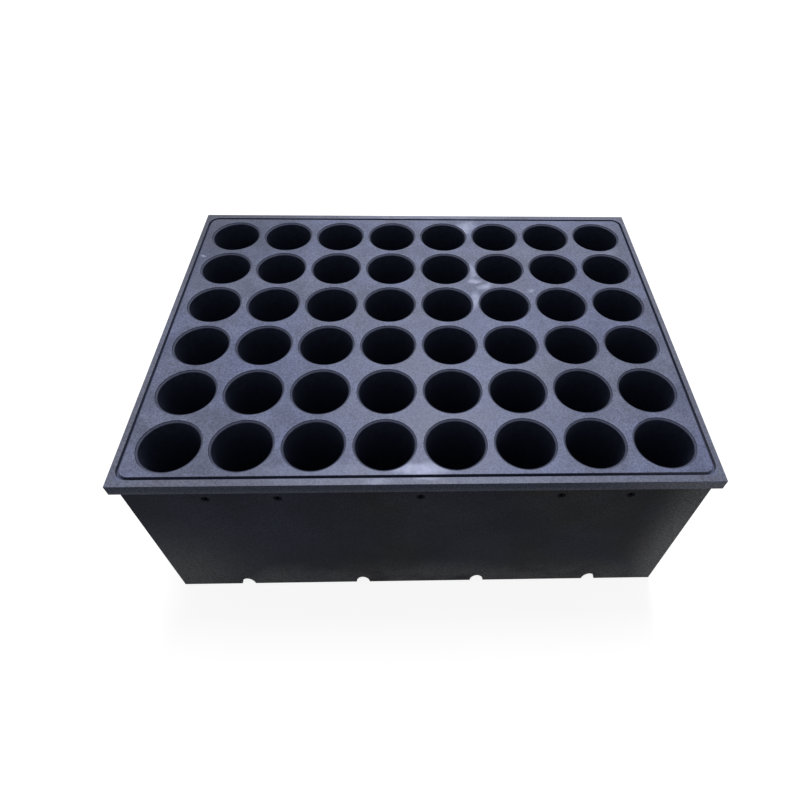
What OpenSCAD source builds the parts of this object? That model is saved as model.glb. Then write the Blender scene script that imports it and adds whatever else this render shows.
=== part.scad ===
// Deep-cell plug tray: a bored deck of two plates on four skirt panels, with a lift-out cup in every cell.
// Millimetres. +X runs along the long side, +Y to the rear, +Z up.
// The origin is on the bench, under the middle of the tray.

/* [Tray] */
// Height from the bench to the top of the deck
tray_h = 158; // [110:1:220]

/* [Cells] */
// Number of cells along the long side
cell_columns = 8; // [2:1:8]
// Number of cells along the short side
cell_rows = 6; // [2:1:6]
// Inside diameter of a cell cup
cell_d = 40.4; // [24:0.2:60]
// Width of the deck that is left between the seats of neighbouring cells
cell_web = 4.3; // [1.5:0.1:12]
// Distance that the cells stand towards the front, off the middle of the deck
cell_offset = 1.2; // [0:0.1:1.5]

/* [Cups] */
// Wall thickness of a cup
cup_wall = 0.6; // [0.6:0.1:2]
// Thickness of the floor of a cup
cup_floor = 2; // [1:0.1:5]
// Bevel around the foot of a cup, which leads it into its hole
cup_bevel = 1; // [0.4:0.1:1.4]
// Height of the underside of the cups above the bench
cup_foot_gap = 7; // [2:0.5:20]
// Radial gap between the wall of a cup and the hole in the deck
cup_clearance = 0.3; // [0.2:0.05:0.6]
// Width of the ledge that carries the rim of a cup, past the edge of the hole
rim_ledge = 0.4; // [0.4:0.1:3]
// Height of the rim, from the ledge to its top
rim_h = 3.2; // [2.2:0.1:6]
// Depth of the top of the rim below the face of the deck
rim_recess = 0.6; // [0:0.1:1]
// Width of the flat on top of the rim, outside the bevelled lip
rim_flat = 0.3; // [0.1:0.1:0.6]
// Depth of the bevelled lip, which leads into the cell
lip_drop = 0.6; // [0.5:0.1:2]
// Radial gap between the rim of a cup and its seat in the deck
rim_clearance = 0.2; // [0.1:0.05:0.4]
// Number of drain holes in the floor of a cup
drain_count = 4; // [3:1:5]
// Diameter of a drain hole
drain_d = 6; // [3:0.5:8]
// Distance from the inside wall of a cup to the axis of a drain hole
drain_inset = 9.5; // [6:0.5:11]

/* [Deck] */
// Thickness of the deck plate, whose edge is the flange
flange_h = 9; // [6:0.5:15]
// Distance that the flange stands out past the skirt panels
flange_overhang = 4; // [1:0.5:12]
// Thickness of the core plate under the deck plate, which the panels are screwed to
core_h = 21; // [16:0.5:40]
// Wall of the core plate between an outermost hole and the panel, with the cells in the middle of the deck
core_wall = 2.95; // [2:0.05:8]
// Width of the flat rim outside the groove, along the left and right sides
groove_rim_x = 3.7; // [2:0.1:6]
// Width of the flat rim outside the groove, along the front and rear sides
groove_rim_y = 5.2; // [2:0.1:6]
// Width of the groove around the cells
groove_w = 2.2; // [1:0.1:4]
// Depth of the groove
groove_depth = 3; // [1:0.5:5]
// Radius of the groove's corners, at its outer edge
groove_corner_r = 9; // [5:0.5:14]

/* [Skirt panels] */
// Thickness of the skirt panels
panel_t = 5; // [4:0.5:12]
// Width of a notch in the foot of a panel
notch_w = 10.8; // [6:0.1:16]
// Height of a notch, to the top of its oval arch
notch_h = 9.3; // [6:0.1:30]

/* [Corner cleats] */
// Gap between the long face of a front cleat and the nearest cup
cleat_gap = 2; // [0.5:0.1:4]
// Height of the foot of a cleat above the bench
cleat_foot_gap = 12; // [2:1:40]

/* [Panel screws] */
// Distance from the underside of the flange down to the screws
screw_drop = 13; // [5:0.5:18]
// Thread diameter of the screws
screw_d = 3; // [2.5:0.5:4]
// Diameter of the screw heads
screw_head_d = 5.5; // [5:0.1:8]
// Height of the screw heads
screw_head_h = 3; // [2:0.1:4]
// Length of the screws under the head
screw_length = 14; // [8:1:20]
// Width of the hexagon socket, across its flats
socket_af = 2.5; // [1.5:0.1:3]
// Depth of the hexagon socket
socket_depth = 1.5; // [0.8:0.1:2]
// Depth of a screw head below the face of the panel
screw_recess = 0.4; // [0.1:0.1:0.8]
// Radial gap around a screw head and around its shank in the panel
screw_clearance = 0.25; // [0.1:0.05:0.4]
// Radial gap around the thread in the core plate
thread_clearance = 0.05; // [0.02:0.01:0.1]
// Depth of a screw hole in the core plate past the tip of the screw
screw_hole_spare = 2; // [0.5:0.5:4]

/* [Hidden] */
// Facets for display only: circles and cylinders come out exact
$fn = 96;
// Overshoot that lets a cut run clear of the face that it opens
cut_over = 1;
// Straight steps along the arch of a notch
arch_steps = 24;

cell_r = cell_d / 2;
cup_r = cell_r + cup_wall;
hole_r = cup_r + cup_clearance;
rim_r = hole_r + rim_ledge;
seat_r = rim_r + rim_clearance;
rim_z = tray_h - rim_recess;
seat_z = rim_z - rim_h;
lip_z = rim_z - lip_drop;
cell_pitch = 2 * seat_r + cell_web;
drain_circle_r = cell_r - drain_inset;

// Distances from the axis of an outermost cell to the side of the core and to the edge of the deck
core_margin = hole_r + core_wall;
deck_margin = core_margin + panel_t + flange_overhang;
core_x = (cell_columns - 1) * cell_pitch + 2 * core_margin;
core_y = (cell_rows - 1) * cell_pitch + 2 * core_margin;
skirt_x = core_x + 2 * panel_t;
skirt_y = core_y + 2 * panel_t;
deck_x = (cell_columns - 1) * cell_pitch + 2 * deck_margin;
deck_y = (cell_rows - 1) * cell_pitch + 2 * deck_margin;
flange_under_z = tray_h - flange_h;
core_under_z = flange_under_z - core_h;

// Leg of a cleat whose long face stands the stated gap from the cup in a front corner
cleat_leg = 2 * core_margin - cell_offset - sqrt(2) * (cup_r + cleat_gap);

screw_z = flange_under_z - screw_drop;
head_seat = screw_recess + screw_head_h;
socket_d = socket_af / cos(30);

deck_colour = [0.48, 0.50, 0.60];
panel_colour = [0.15, 0.15, 0.17];
cup_colour = [0.10, 0.10, 0.12];
screw_colour = [0.06, 0.06, 0.07];

function cup_name(row, column) = str("cell_cup_r", row, "_c", column);

// Cells are counted from the front left, rows to the rear and columns to the right
function cell_x(column) = (column - (cell_columns + 1) / 2) * cell_pitch;
function cell_y(row) = (row - (cell_rows + 1) / 2) * cell_pitch - cell_offset;

// Screws stand in every gap except the two beside the middle one
function screw_gaps(cells) = [for (gap = [1:cells - 1]) if (abs(gap - cells / 2) != 1) gap];

// Notches stand in every other gap
function notch_gaps(cells) = [for (gap = [1:2:cells - 1]) gap];

CORNERS = [
    ["corner_cleat_front_left", -1, -1],
    ["corner_cleat_front_right", 1, -1],
    ["corner_cleat_rear_left", -1, 1],
    ["corner_cleat_rear_right", 1, 1],
];

// The sides of the skirt, each a quarter turn about the vertical past the one before
SIDES = ["front", "right", "rear", "left"];

function quarter_turns(side) = search([side], SIDES)[0];
function is_long(side) = side == "front" || side == "rear";
function side_cells(side) = is_long(side) ? cell_columns : cell_rows;
function side_distance(side) = (is_long(side) ? skirt_y : skirt_x) / 2;

// Distance of the cells from the middle of a side, along the side
function side_shift(side) = side == "right" ? -cell_offset : side == "left" ? cell_offset : 0;

// Gaps between the cells along a side, counted from 1
function gap_at(gap, side) = (gap - side_cells(side) / 2) * cell_pitch + side_shift(side);

// Puts a child, drawn with its outer face on y = 0 and its inside towards +Y, on a side of the skirt
module on_side(side)
    rotate([0, 0, 90 * quarter_turns(side)])
        translate([0, -side_distance(side), 0])
            children();

module at_each_cell()
    for (row = [1:cell_rows])
        for (column = [1:cell_columns])
            translate([cell_x(column), cell_y(row), 0])
                children();

// Puts a child at each screw of a side, with its axis along +Z turned to point inwards
module at_screws_of(side)
    for (gap = screw_gaps(side_cells(side)))
        translate([gap_at(gap, side), 0, screw_z])
            rotate([-90, 0, 0])
                children();

module block(x, y, z_low, z_high)
    translate([-x / 2, -y / 2, z_low])
        cube([x, y, z_high - z_low]);

module rounded_rectangle(x, y, r) {
    square([x - 2 * r, y], center = true);
    square([x, y - 2 * r], center = true);
    for (side_x = [-1, 1])
        for (side_y = [-1, 1])
            translate([side_x * (x / 2 - r), side_y * (y / 2 - r)])
                circle(r);
}

module groove() {
    outer_x = deck_x - 2 * groove_rim_x;
    outer_y = deck_y - 2 * groove_rim_y;
    inner_x = outer_x - 2 * groove_w;
    inner_y = outer_y - 2 * groove_w;
    translate([0, 0, tray_h - groove_depth])
        linear_extrude(groove_depth + cut_over)
            difference() {
                rounded_rectangle(outer_x, outer_y, groove_corner_r);
                rounded_rectangle(inner_x, inner_y, groove_corner_r - groove_w);
            }
}

// Hole for a cup, right through a plate
module cup_hole(z_low, z_high)
    translate([0, 0, z_low - cut_over])
        cylinder(r = hole_r, h = z_high - z_low + 2 * cut_over);

// Seat that the rim of a cup hangs in
module rim_seat()
    translate([0, 0, seat_z])
        cylinder(r = seat_r, h = tray_h - seat_z + cut_over);

module deck_plate()
    color(deck_colour)
        difference() {
            block(deck_x, deck_y, flange_under_z, tray_h);
            at_each_cell() {
                cup_hole(flange_under_z, tray_h);
                rim_seat();
            }
            groove();
        }

// Bonded to the underside of the deck plate, inside the panels
module core_plate()
    color(deck_colour)
        difference() {
            block(core_x, core_y, core_under_z, flange_under_z);
            at_each_cell() cup_hole(core_under_z, flange_under_z);
            for (side = SIDES)
                on_side(side)
                    at_screws_of(side)
                        cylinder(
                            d = screw_d + 2 * thread_clearance,
                            h = head_seat + screw_length + screw_hole_spare
                        );
        }

// Half an oval, open at the foot of the panel
module notch_outline() {
    half_w = notch_w / 2;
    arch = [for (step = [0:arch_steps]) 180 * step / arch_steps];
    polygon(concat(
        [[-half_w, -cut_over], [half_w, -cut_over]],
        [for (angle = arch) [half_w * cos(angle), notch_h * sin(angle)]]
    ));
}

module notch()
    translate([0, panel_t + cut_over, 0])
        rotate([90, 0, 0])
            linear_extrude(panel_t + 2 * cut_over)
                notch_outline();

module screw_hole() {
    translate([0, 0, -cut_over])
        cylinder(d = screw_head_d + 2 * screw_clearance, h = head_seat + cut_over);
    cylinder(d = screw_d + 2 * screw_clearance, h = panel_t + cut_over);
}

module panel(side, length)
    color(panel_colour)
        on_side(side)
            difference() {
                translate([-length / 2, 0, 0])
                    cube([length, panel_t, flange_under_z]);
                for (gap = notch_gaps(side_cells(side)))
                    translate([gap_at(gap, side), 0, 0])
                        notch();
                at_screws_of(side)
                    screw_hole();
            }

module front_panel() panel("front", skirt_x);

module rear_panel() panel("rear", skirt_x);

module left_panel() panel("left", core_y);

module right_panel() panel("right", core_y);

// Socket head screw, its head's outer face on z = 0 and its tip towards +Z
module socket_screw()
    difference() {
        union() {
            cylinder(d = screw_head_d, h = screw_head_h);
            cylinder(d = screw_d, h = screw_head_h + screw_length);
        }
        translate([0, 0, -cut_over])
            cylinder(d = socket_d, h = socket_depth + cut_over, $fn = 6);
    }

module panel_screws()
    color(screw_colour)
        for (side = SIDES)
            on_side(side)
                at_screws_of(side)
                    translate([0, 0, screw_recess])
                        socket_screw();

// Triangular cleat in the corner between two panels, up against the underside of the core plate
module corner_cleat(side_x, side_y)
    color(panel_colour)
        translate([side_x * core_x / 2, side_y * core_y / 2, cleat_foot_gap])
            linear_extrude(core_under_z - cleat_foot_gap)
                polygon([[0, 0], [-side_x * cleat_leg, 0], [0, -side_y * cleat_leg]]);

// Half section of a cup: X is the radius, Y the height above the bench
module cup_section()
    polygon([
        [0, cup_foot_gap],
        [cup_r - cup_bevel, cup_foot_gap],
        [cup_r, cup_foot_gap + cup_bevel],
        [cup_r, seat_z],
        [rim_r, seat_z],
        [rim_r, rim_z],
        [rim_r - rim_flat, rim_z],
        [cell_r, lip_z],
        [cell_r, cup_foot_gap + cup_floor],
        [0, cup_foot_gap + cup_floor],
    ]);

module cell_cup(row, column)
    color(cup_colour)
        translate([cell_x(column), cell_y(row), 0])
            difference() {
                rotate_extrude()
                    cup_section();
                for (drain = [0:drain_count - 1])
                    rotate([0, 0, 360 / drain_count * (drain + 0.5)])
                        translate([drain_circle_r, 0, cup_foot_gap - cut_over])
                            cylinder(d = drain_d, h = cup_floor + 2 * cut_over);
            }

deck_plate();
core_plate();
front_panel();
rear_panel();
left_panel();
right_panel();
panel_screws();
for (corner = CORNERS)
    corner_cleat(corner[1], corner[2]);
for (row = [1:cell_rows])
    for (column = [1:cell_columns])
        cell_cup(row, column);
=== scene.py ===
"""Looks of a rigid deep-cell plug tray: satin deck, matte panels, black lift-out cups, black screws."""

import math
from collections import namedtuple

import bpy
from mathutils import Matrix, Vector


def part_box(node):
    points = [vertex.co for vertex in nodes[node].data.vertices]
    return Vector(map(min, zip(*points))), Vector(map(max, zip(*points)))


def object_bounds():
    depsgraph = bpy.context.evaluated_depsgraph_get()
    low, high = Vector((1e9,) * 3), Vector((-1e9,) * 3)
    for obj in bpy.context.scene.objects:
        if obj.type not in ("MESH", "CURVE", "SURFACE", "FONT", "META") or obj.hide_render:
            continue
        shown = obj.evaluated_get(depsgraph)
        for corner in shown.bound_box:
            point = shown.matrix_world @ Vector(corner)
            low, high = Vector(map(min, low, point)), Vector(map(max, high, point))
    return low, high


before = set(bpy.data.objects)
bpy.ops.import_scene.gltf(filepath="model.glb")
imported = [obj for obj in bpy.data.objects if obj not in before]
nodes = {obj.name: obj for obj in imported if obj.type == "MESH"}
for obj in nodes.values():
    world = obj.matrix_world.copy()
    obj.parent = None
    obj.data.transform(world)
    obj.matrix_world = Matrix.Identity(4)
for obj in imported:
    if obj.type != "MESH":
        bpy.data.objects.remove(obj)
cad_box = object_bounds()

# Millimetres to metres
MM = 0.001

# Heights on the tray, from the frame
deck_low, deck_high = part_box("deck_plate")
DECK_TOP = deck_high.z
FLANGE_UNDER = deck_low.z
LIP_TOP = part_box("cell_cup_r1_c1")[1].z

# Height of the bevelled lip of a cup
LIP_DROP = 0.6 * MM

# Half sizes of the deck and of the box that the panels make
panel_low, panel_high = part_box("front_panel")
DECK_HALF = (deck_high.x, deck_high.y, 0.0)
SKIRT_HALF = (panel_high.x, -panel_low.y, 0.0)

# Upright edges of the deck and of the front panel
DECK_FRONT_RIGHT = (deck_high.x, deck_low.y, 0.0)
DECK_REAR_LEFT = (deck_low.x, deck_high.y, 0.0)
PANEL_FRONT_LEFT = (panel_low.x, panel_low.y, 0.0)
PANEL_FRONT_RIGHT = (panel_high.x, panel_low.y, 0.0)

# How far painted shade, painted light and a lighter tone reach from an upright edge
CORNER_SHADE_REACH = 170 * MM
CORNER_LIGHT_REACH = 110 * MM
LEFT_LIGHTER_REACH = 100 * MM
RIGHT_LIGHT_REACH = 48 * MM

# Fades by height: where each begins and where it is full
FLANGE_LOW_LIGHT_FADE = (FLANGE_UNDER + 5 * MM, FLANGE_UNDER)
SUNK_FADE = (DECK_TOP - 0.2 * MM, DECK_TOP - 0.8 * MM)
ABOVE_CORE_FADE = (FLANGE_UNDER + 1 * MM, FLANGE_UNDER + 3 * MM)
LIP_FADE = (LIP_TOP - LIP_DROP - 0.1 * MM, LIP_TOP)
FOOT_DUST_AND_LIGHT_FADE = (48 * MM, 0.0)
LEFT_LIGHTER_FADE = (120 * MM, 10 * MM)
RIGHT_LIGHT_FADE = (150 * MM, 60 * MM)

# Fades by the distance out from the edge of the deck or the skirt, negative inside it
RIM_FADE = (-6 * MM, -4 * MM)
FLANK_FADE = (-1 * MM, -0.5 * MM)
FLOOR_GLOW_FADE = (-45 * MM, -20 * MM)

# Fade of the panels' colour from right to left
COOL_FADE = (150 * MM, -150 * MM)

# Fade of the floor to white, by the distance from the tray's middle, in metres
FLOOR_WHITE_FADE = (0.5, 1.8)

# Fades by a noise, which varies about 0.5, from the hardest to the softest
HARD = (0.35, 0.65)
FIRM = (0.3, 0.7)
SOFT = (0.25, 0.75)
SOFTEST = (0.2, 0.8)

# Fade by a noise into patches that cover a little more than half
PATCHES = (0.3, 0.65)

# The whole way from none to full
WHOLE = (0.0, 1.0)

# Rounding of the sharp edges, and reach of the rubbing along them
DECK_ROUNDING = 0.3 * MM
PANEL_ROUNDING = 0.4 * MM
EDGE_WEAR = 0.8 * MM

# Pale scuffs on the deck, with their glints painted in as pale colour: middle, half length and half
# width in millimetres, turn in degrees, strength
ScuffGlint = namedtuple("ScuffGlint", "x y half_length half_width turn strength")
SCUFFS_AND_GLINTS = [
    ScuffGlint(-1, -140, 28, 8, 0, 0.9),
    ScuffGlint(-65, -144, 80, 13, 0, 0.16),
    ScuffGlint(-29, -149, 14, 3.5, 0, 0.35),
    ScuffGlint(3, -148, 12, 2.5, 0, 0.5),
    ScuffGlint(48, 66, 16, 4, 85, 0.5),
    ScuffGlint(49, 53, 7, 4, 10, 0.75),
    ScuffGlint(57, 46, 10, 5, 25, 0.65),
    ScuffGlint(47, 27, 16, 5, 78, 0.6),
    ScuffGlint(95, 40, 5, 2, 15, 0.5),
    ScuffGlint(42, 131, 21, 11, 35, 0.65),
    ScuffGlint(10, 150, 95, 4, 0, 0.3),
    ScuffGlint(170, 92, 18, 9, 20, 0.15),
    ScuffGlint(-191, 87, 3.5, 1.2, -25, 0.6),
]

# Camera, found from the outline and the cell mouths in the 800 by 800 frame
IMAGE_PX = 800
FOCAL_PX = 593.62
PRINCIPAL_PX = (434.27, 404.53)
CAMERA_TARGET = Vector((10.25 * MM, -85.86 * MM, DECK_TOP))
CAMERA_DISTANCE = 422.5 * MM
CAMERA_ELEVATION = math.radians(50.07)
CAMERA_YAW = math.radians(-3.004)
CAMERA_ROLL = math.radians(2.005)
SENSOR_MM = 36.0

WHITE = (1.0, 1.0, 1.0, 1.0)


class Shader:
    """A material's node tree with its Principled shader, and short calls that add nodes to it."""

    def __init__(self, name):
        self.material = bpy.data.materials.new(name)
        self.material.use_nodes = True
        self.tree = self.material.node_tree
        self.principled = self.tree.nodes["Principled BSDF"]

    def node(self, kind, **settings):
        made = self.tree.nodes.new(kind)
        for key, value in settings.items():
            setattr(made, key, value)
        return made

    def link(self, value, socket):
        """Puts a number, a colour or another node's output into a socket."""
        if isinstance(value, bpy.types.NodeSocket):
            self.tree.links.new(value, socket)
        else:
            socket.default_value = value

    def set(self, **sockets):
        """Fills the Principled shader's sockets, named with underscores for spaces."""
        for name, value in sockets.items():
            self.link(value, self.principled.inputs[name.replace("_", " ")])

    def place(self):
        return self.node("ShaderNodeTexCoord").outputs["Object"]

    def normal(self):
        return self.node("ShaderNodeNewGeometry").outputs["Normal"]

    def axis(self, vector, name):
        made = self.node("ShaderNodeSeparateXYZ")
        self.link(vector, made.inputs["Vector"])
        return made.outputs[name]

    def mapped(self, vector, location, turn, scale):
        """A vector measured from a place, along turned axes, in units of a size."""
        made = self.node("ShaderNodeMapping", vector_type="TEXTURE")
        self.link(vector, made.inputs["Vector"])
        self.link(location, made.inputs["Location"])
        self.link((0, 0, turn), made.inputs["Rotation"])
        self.link(scale, made.inputs["Scale"])
        return made.outputs["Vector"]

    def noise(self, vector, scale, detail=2.0, roughness=0.5, output="Fac"):
        made = self.node("ShaderNodeTexNoise")
        self.link(vector, made.inputs["Vector"])
        self.link(scale, made.inputs["Scale"])
        self.link(detail, made.inputs["Detail"])
        self.link(roughness, made.inputs["Roughness"])
        return made.outputs[output]

    def math(self, operation, first, second):
        made = self.node("ShaderNodeMath", operation=operation)
        self.link(first, made.inputs[0])
        self.link(second, made.inputs[1])
        return made.outputs["Value"]

    def product(self, first, second):
        return self.math("MULTIPLY", first, second)

    def larger(self, first, second):
        return self.math("MAXIMUM", first, second)

    def vector_math(self, operation, first, second=(0, 0, 0), output="Vector"):
        made = self.node("ShaderNodeVectorMath", operation=operation)
        self.link(first, made.inputs[0])
        self.link(second, made.inputs[1])
        return made.outputs[output]

    def remap(self, value, fade, low=0.0, high=1.0):
        """Goes smoothly from low to high, as the value goes from one end of the fade to the other."""
        made = self.node("ShaderNodeMapRange", interpolation_type="SMOOTHSTEP")
        begin, full = fade
        self.link(value, made.inputs["Value"])
        self.link(begin, made.inputs["From Min"])
        self.link(full, made.inputs["From Max"])
        self.link(low, made.inputs["To Min"])
        self.link(high, made.inputs["To Max"])
        return made.outputs["Result"]

    def mix(self, factor, first, second):
        """A colour between two colours."""
        made = self.node("ShaderNodeMix", data_type="RGBA")
        colours_in = [socket for socket in made.inputs if socket.type == "RGBA"]
        colour_out = next(socket for socket in made.outputs if socket.type == "RGBA")
        self.link(factor, made.inputs["Factor"])
        self.link(first, colours_in[0])
        self.link(second, colours_in[1])
        return colour_out

    def shade(self, colour, strength):
        """A colour made darker or lighter."""
        made = self.node("ShaderNodeVectorMath", operation="SCALE")
        self.link(colour, made.inputs[0])
        self.link(strength, made.inputs["Scale"])
        return made.outputs["Vector"]

    def facing_up(self):
        """1 on faces that look up, 0 on upright faces and undersides."""
        tilt_fade = (0.6, 0.95)
        return self.remap(self.axis(self.normal(), "Z"), tilt_fade)

    def worn_edge(self, radius):
        """1 on a sharp edge, 0 on a flat face."""
        turned_fade = (0.99, 0.8)
        bevel = self.node("ShaderNodeBevel", samples=6)
        self.link(radius, bevel.inputs["Radius"])
        alike = self.vector_math("DOT_PRODUCT", bevel.outputs["Normal"], self.normal(), "Value")
        return self.remap(alike, turned_fade)

    def wobbled(self, vector, scale, size):
        """The same places, pushed about by up to half the size."""
        colour = self.noise(vector, scale, detail=3.0, output="Color")
        push = self.vector_math("SUBTRACT", colour, (0.5, 0.5, 0.5))
        return self.vector_math("ADD", vector, self.vector_math("MULTIPLY", push, (size, size, 0.0)))

    def soft_oval(self, vector, mark):
        """A soft oval that fades out towards its edge."""
        oval_fade = (1.0, 0.25)
        local = self.mapped(
            vector,
            location=(mark.x * MM, mark.y * MM, DECK_TOP),
            turn=math.radians(mark.turn),
            scale=(mark.half_length * MM, mark.half_width * MM, 1.0),
        )
        from_middle = self.vector_math("LENGTH", local, output="Value")
        return self.remap(from_middle, oval_fade, high=mark.strength)

    def near_upright(self, vector, corner, reach):
        """1 at an upright edge of the tray, fading out within a reach."""
        flat = self.vector_math("MULTIPLY", vector, (1.0, 1.0, 0.0))
        return self.remap(self.vector_math("DISTANCE", flat, corner, "Value"), (reach, 0.0))

    def outside(self, vector, half):
        """How far a place lies outside a rectangle around the origin, negative inside it."""
        past = self.vector_math("SUBTRACT", self.vector_math("ABSOLUTE", vector), half)
        return self.larger(self.axis(past, "X"), self.axis(past, "Y"))

    def bump(self, height, distance, strength):
        made = self.node("ShaderNodeBump")
        self.link(height, made.inputs["Height"])
        self.link(distance, made.inputs["Distance"])
        self.link(strength, made.inputs["Strength"])
        self.link(made.outputs["Normal"], self.principled.inputs["Normal"])


def bluish(value, blue=1.0):
    """A grey with its blue raised, and its green a little."""
    green_share = 0.16
    return (value, value * (1 + (blue - 1) * green_share), value * blue, 1.0)


def deck_material():
    """Machined plastic: a blue-grey sheen on top with pale scuffs and painted glints, sides darkened
    with painted shade, painted shade in the groove.
    """
    dark_grey = bluish(0.09, 1.7)
    dark_blue = bluish(0.087, 2.0)
    pale_grey = bluish(0.14, 1.7)
    pale_blue = bluish(0.136, 2.0)
    sheen_falloff_grey = bluish(0.115, 1.2)
    scuff_and_glint_white = bluish(0.46, 1.5)
    shaded_side_navy = bluish(0.046, 1.9)
    lighter_grey = bluish(0.16, 1.3)
    groove_shade_blue = bluish(0.09, 2.0)
    sheen_tint = bluish(0.72, 1.4)

    shader = Shader("deck_satin")
    place = shader.place()
    height = shader.axis(place, "Z")
    from_edge = shader.outside(place, DECK_HALF)
    up = shader.facing_up()
    cloud = shader.noise(place, scale=45.0, detail=4.0, roughness=0.55)
    tint = shader.noise(place, scale=16.0)
    grain = shader.noise(place, scale=800.0, roughness=0.7)

    # Top: cloudy and grained, with a greyer rim as a painted falloff of the blue sheen, and painted
    # shade towards the rear left corner
    blueness = shader.remap(tint, FIRM)
    dark = shader.mix(blueness, dark_grey, dark_blue)
    light = shader.mix(blueness, pale_grey, pale_blue)
    top = shader.mix(shader.remap(cloud, SOFT), dark, light)
    # Painted falloff of the blue sheen: the rim turns greyer
    top = shader.mix(shader.remap(from_edge, RIM_FADE, high=0.5), top, sheen_falloff_grey)
    # Painted shade: darker towards the rear left corner
    painted_corner_shade = shader.near_upright(place, DECK_REAR_LEFT, CORNER_SHADE_REACH)
    top = shader.shade(top, shader.remap(painted_corner_shade, WHOLE, 1.0, 0.5))
    top = shader.shade(top, shader.remap(grain, SOFT, 0.6, 1.45))

    # Pale scuffs with painted glints, frayed and broken up
    frayed = shader.wobbled(place, scale=60.0, size=10 * MM)
    scuffs_and_glints = 0.0
    for mark in SCUFFS_AND_GLINTS:
        scuffs_and_glints = shader.larger(scuffs_and_glints, shader.soft_oval(frayed, mark))
    gaps = shader.noise(place, scale=170.0, detail=4.0, roughness=0.6)
    scuffs_and_glints = shader.product(scuffs_and_glints, shader.remap(gaps, PATCHES, 0.6, 1.0))
    top = shader.mix(scuffs_and_glints, top, scuff_and_glint_white)

    # Sides: darker than the top as painted shade on upright faces, with painted light towards the lower
    # edge and at the front right
    # Painted light: lighter towards the flange's lower edge and near the front right corner
    painted_low_light = shader.remap(height, FLANGE_LOW_LIGHT_FADE, high=0.4)
    painted_corner_light = shader.near_upright(place, DECK_FRONT_RIGHT, CORNER_LIGHT_REACH)
    side = shader.mix(shader.larger(painted_low_light, painted_corner_light), shaded_side_navy, lighter_grey)
    side = shader.shade(side, shader.remap(grain, SOFT, 0.4, 1.6))
    body = shader.mix(up, side, top)

    # Painted shade on faces sunk below the top: the floor of the groove and the seats of the cups
    sunk = shader.product(shader.remap(height, SUNK_FADE), shader.remap(height, ABOVE_CORE_FADE))
    body = shader.mix(shader.product(sunk, up), body, groove_shade_blue)

    # The outer sides shine less than the rest
    flank = shader.product(shader.remap(from_edge, FLANK_FADE), shader.remap(up, WHOLE, 1.0, 0.0))
    shader.set(
        Base_Color=body,
        Roughness=shader.remap(cloud, SOFTEST, 0.36, 0.46),
        Specular_IOR_Level=shader.remap(flank, WHOLE, 0.42, 0.04),
        Specular_Tint=sheen_tint,
    )
    shader.bump(grain, distance=0.04 * MM, strength=0.5)
    return shader.material


def panel_material():
    """Matte sheet with a fine grain, lighter at its foot and ends with dust and painted light, and
    rubbed along its edges.
    """
    warm_black = bluish(0.028, 1.15)
    cool_black = bluish(0.028, 1.65)
    dust_and_light_grey = bluish(0.2, 1.08)
    lighter_grey = bluish(0.08, 1.1)

    shader = Shader("panel_matte")
    place = shader.place()
    height = shader.axis(place, "Z")
    cloud = shader.noise(place, scale=14.0, detail=4.0, roughness=0.55)
    tint = shader.noise(place, scale=9.0)
    grain = shader.noise(place, scale=900.0, detail=3.0, roughness=0.8)
    patchy = shader.remap(shader.noise(place, scale=20.0, detail=4.0, roughness=0.6), PATCHES)

    # Sheet: cloudy, and cooler towards the left
    lean = shader.remap(shader.axis(place, "X"), COOL_FADE, -0.15, 0.15)
    cool = shader.remap(shader.math("ADD", tint, lean), HARD)
    body = shader.mix(cool, warm_black, cool_black)
    body = shader.shade(body, shader.remap(cloud, FIRM, 0.75, 1.3))

    # Lighter in patches along the foot, with dust and painted bounce light from the floor; lighter low
    # at the front left; and painted reflected light along the edge at the front right
    foot_dust_and_light = shader.product(shader.remap(height, FOOT_DUST_AND_LIGHT_FADE, high=0.6), patchy)
    # A lighter tone low at the front left
    lighter_front_left = shader.product(
        shader.near_upright(place, PANEL_FRONT_LEFT, LEFT_LIGHTER_REACH),
        shader.remap(height, LEFT_LIGHTER_FADE, high=0.6),
    )
    # Painted reflected light along the edge at the front right
    right_edge = shader.near_upright(place, PANEL_FRONT_RIGHT, RIGHT_LIGHT_REACH)
    painted_right_light = shader.product(
        shader.product(right_edge, right_edge),
        shader.remap(height, RIGHT_LIGHT_FADE, 0.65, 1.0),
    )
    dust_and_light = shader.larger(foot_dust_and_light, shader.larger(lighter_front_left, painted_right_light))
    body = shader.mix(dust_and_light, body, dust_and_light_grey)

    # Rubbed edges
    rubbed = shader.product(shader.worn_edge(EDGE_WEAR), shader.remap(patchy, SOFTEST, 0.1, 0.6))
    body = shader.mix(rubbed, body, lighter_grey)
    body = shader.shade(body, shader.remap(grain, FIRM, 0.4, 1.6))
    shader.set(
        Base_Color=body,
        Roughness=shader.remap(grain, SOFTEST, 0.52, 0.68),
        Specular_IOR_Level=0.03,
    )
    shader.bump(grain, distance=0.08 * MM, strength=0.6)
    return shader.material


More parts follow.
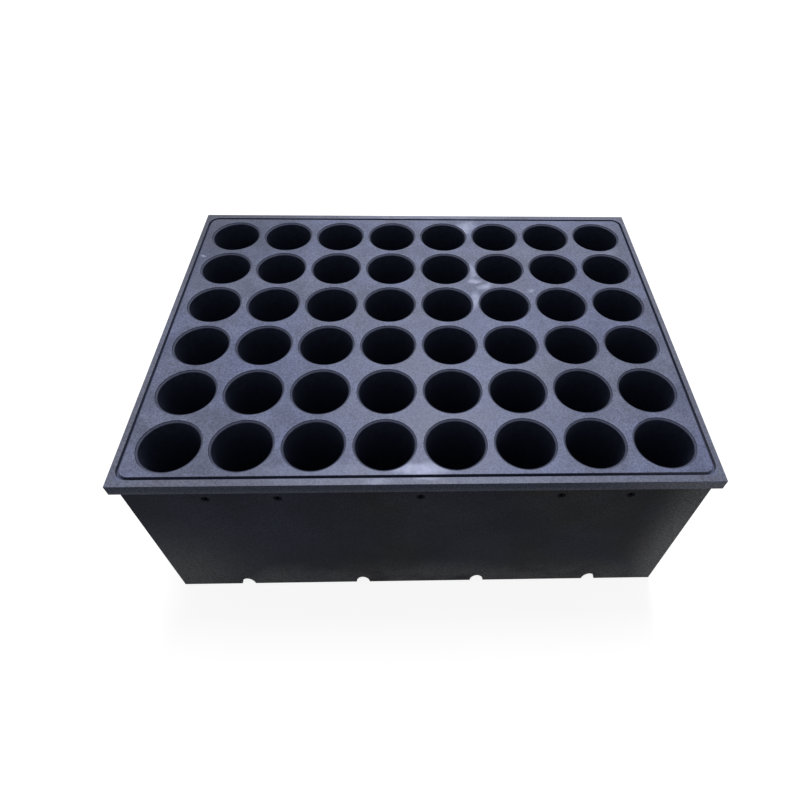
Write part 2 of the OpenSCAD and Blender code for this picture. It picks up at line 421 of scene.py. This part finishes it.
def cup_material():
    """Black moulded cup with a satin lip, its walls below the lip darker with painted shade."""
    shaded_wall_dark = bluish(0.022, 2.2)
    shaded_wall_light = bluish(0.03, 2.2)
    lip_dark = bluish(0.06, 1.8)
    lip_light = bluish(0.085, 1.8)
    sheen_tint = (0.72, 0.78, 1.0, 1.0)

    shader = Shader("cup_black")
    place = shader.place()
    mottle = shader.noise(place, scale=300.0, detail=3.0)
    lightness = shader.remap(mottle, FIRM)
    shaded_wall = shader.mix(lightness, shaded_wall_dark, shaded_wall_light)
    lip = shader.mix(lightness, lip_dark, lip_light)
    # Painted shade: below the lip, the walls inside the cell take the darker colour
    on_lip = shader.remap(shader.axis(place, "Z"), LIP_FADE)
    shader.set(
        Base_Color=shader.mix(on_lip, shaded_wall, lip),
        Roughness=shader.remap(mottle, SOFTEST, 0.4, 0.55),
        Specular_IOR_Level=0.2,
        Specular_Tint=sheen_tint,
    )
    return shader.material


def screw_material():
    """Black oxide steel with a little oil on it."""
    oxide_dark = bluish(0.003, 2.0)
    oxide_light = bluish(0.008, 2.0)

    shader = Shader("screw_black_oxide")
    mottle = shader.noise(shader.place(), scale=1500.0, detail=3.0)
    shader.set(
        Base_Color=shader.mix(mottle, oxide_dark, oxide_light),
        Roughness=shader.remap(mottle, SOFTEST, 0.4, 0.6),
        Specular_IOR_Level=0.012,
    )
    return shader.material


def dress(names, material):
    """Gives nodes one material in place of any they had."""
    for name in names:
        slots = nodes[name].data.materials
        slots.clear()
        slots.append(material)


def soften_edges(name, width):
    """A small rounding on the sharp edges of a node."""
    piece = nodes[name]
    weld = piece.modifiers.new("weld", "WELD")
    weld.merge_threshold = 0.001 * MM
    planar = piece.modifiers.new("planar", "DECIMATE")
    planar.decimate_type = "DISSOLVE"
    planar.angle_limit = math.radians(0.5)
    bevel = piece.modifiers.new("bevel", "BEVEL")
    bevel.width = width
    bevel.segments = 2
    bevel.limit_method = "ANGLE"
    bevel.angle_limit = math.radians(50)
    piece.modifiers.new("weighted", "WEIGHTED_NORMAL")


def seen_directly(tree):
    """1 for what the camera sees, also in a reflection or through glass, and 0 for scattered light."""
    light_path = tree.nodes.new("ShaderNodeLightPath").outputs
    seen = light_path["Is Camera Ray"]
    for other in ("Is Glossy Ray", "Is Transmission Ray"):
        either = tree.nodes.new("ShaderNodeMath")
        either.operation = "MAXIMUM"
        tree.links.new(seen, either.inputs[0])
        tree.links.new(light_path[other], either.inputs[1])
        seen = either.outputs["Value"]
    return seen


def pale_floor(size, colour, glow):
    """A pale floor that fades to white further out, and is left dark well under the tray."""
    bpy.ops.mesh.primitive_plane_add(size=size, location=(0, 0, cad_box[0][2]))
    floor = bpy.context.object
    floor.name = "floor"
    shader = Shader("floor_pale")
    place = shader.place()
    lit = shader.remap(shader.outside(place, SKIRT_HALF), FLOOR_GLOW_FADE)
    from_middle = shader.vector_math("LENGTH", place, output="Value")
    brightness = shader.product(lit, shader.remap(from_middle, FLOOR_WHITE_FADE, glow, 1.0))
    shader.set(
        Base_Color=bluish(colour),
        Roughness=1.0,
        Specular_IOR_Level=0.0,
        Emission_Color=WHITE,
        Emission_Strength=shader.product(seen_directly(shader.tree), brightness),
    )
    floor.data.materials.append(shader.material)


def white_world(ambient):
    """White where it is seen, and a gentler light on everything else."""
    world = bpy.data.worlds.new("white_room")
    bpy.context.scene.world = world
    world.use_nodes = True
    tree = world.node_tree
    background = tree.nodes["Background"]
    background.inputs["Color"].default_value = WHITE
    strength = tree.nodes.new("ShaderNodeMapRange")
    tree.links.new(seen_directly(tree), strength.inputs["Value"])
    strength.inputs["To Min"].default_value = ambient
    strength.inputs["To Max"].default_value = 1.0
    tree.links.new(strength.outputs["Result"], background.inputs["Strength"])


def soft_box(name, place, aim, width, height, radiance):
    """A flat soft light. Its power follows from its size and from how bright its face looks."""
    data = bpy.data.lights.new(name, "AREA")
    data.shape = "RECTANGLE"
    data.size = width
    data.size_y = height
    data.energy = radiance * math.pi * width * height
    lamp = bpy.data.objects.new(name, data)
    bpy.context.scene.collection.objects.link(lamp)
    lamp.location = place
    lamp.rotation_euler = (Vector(aim) - Vector(place)).to_track_quat("-Z", "Y").to_euler()


def photo_camera():
    """A camera that looks down at the target, turned by the yaw and tilted by the roll."""
    data = bpy.data.cameras.new("camera")
    data.sensor_fit = "HORIZONTAL"
    data.sensor_width = SENSOR_MM
    data.lens = FOCAL_PX / IMAGE_PX * SENSOR_MM
    data.shift_x = (IMAGE_PX / 2 - PRINCIPAL_PX[0]) / IMAGE_PX
    data.shift_y = (PRINCIPAL_PX[1] - IMAGE_PX / 2) / IMAGE_PX
    data.clip_start = 10 * MM
    back = Vector((
        math.sin(CAMERA_YAW) * math.cos(CAMERA_ELEVATION),
        -math.cos(CAMERA_YAW) * math.cos(CAMERA_ELEVATION),
        math.sin(CAMERA_ELEVATION),
    ))
    level = Vector((math.cos(CAMERA_YAW), math.sin(CAMERA_YAW), 0.0))
    right = Matrix.Rotation(CAMERA_ROLL, 3, back) @ level
    up = back.cross(right)
    turn = Matrix((right, up, back)).transposed()
    camera = bpy.data.objects.new("camera", data)
    bpy.context.scene.collection.objects.link(camera)
    camera.matrix_world = Matrix.Translation(CAMERA_TARGET + back * CAMERA_DISTANCE) @ turn.to_4x4()
    bpy.context.scene.camera = camera


# The tray's own pieces
cups = [name for name in nodes if name.startswith("cell_cup_")]
panels = [name for name in nodes if name.endswith("_panel")]
cleats = [name for name in nodes if name.startswith("corner_cleat_")]

dress(["deck_plate", "core_plate"], deck_material())
dress(panels + cleats, panel_material())
dress(cups, cup_material())
dress(["panel_screws"], screw_material())

soften_edges("deck_plate", DECK_ROUNDING)
for panel in panels:
    soften_edges(panel, PANEL_ROUNDING)

# Floor, surroundings, light and camera, with sizes and places in metres
pale_floor(size=30.0, colour=0.35, glow=0.86)
white_world(ambient=0.3)
soft_box(
    "rear_soft_box",
    place=(0.12, 1.0, 2.3),
    aim=(0.0, 0.0, DECK_TOP),
    width=0.8,
    height=1.7,
    radiance=9.4,
)
photo_camera()

bpy.context.scene.view_settings.view_transform = "Standard"
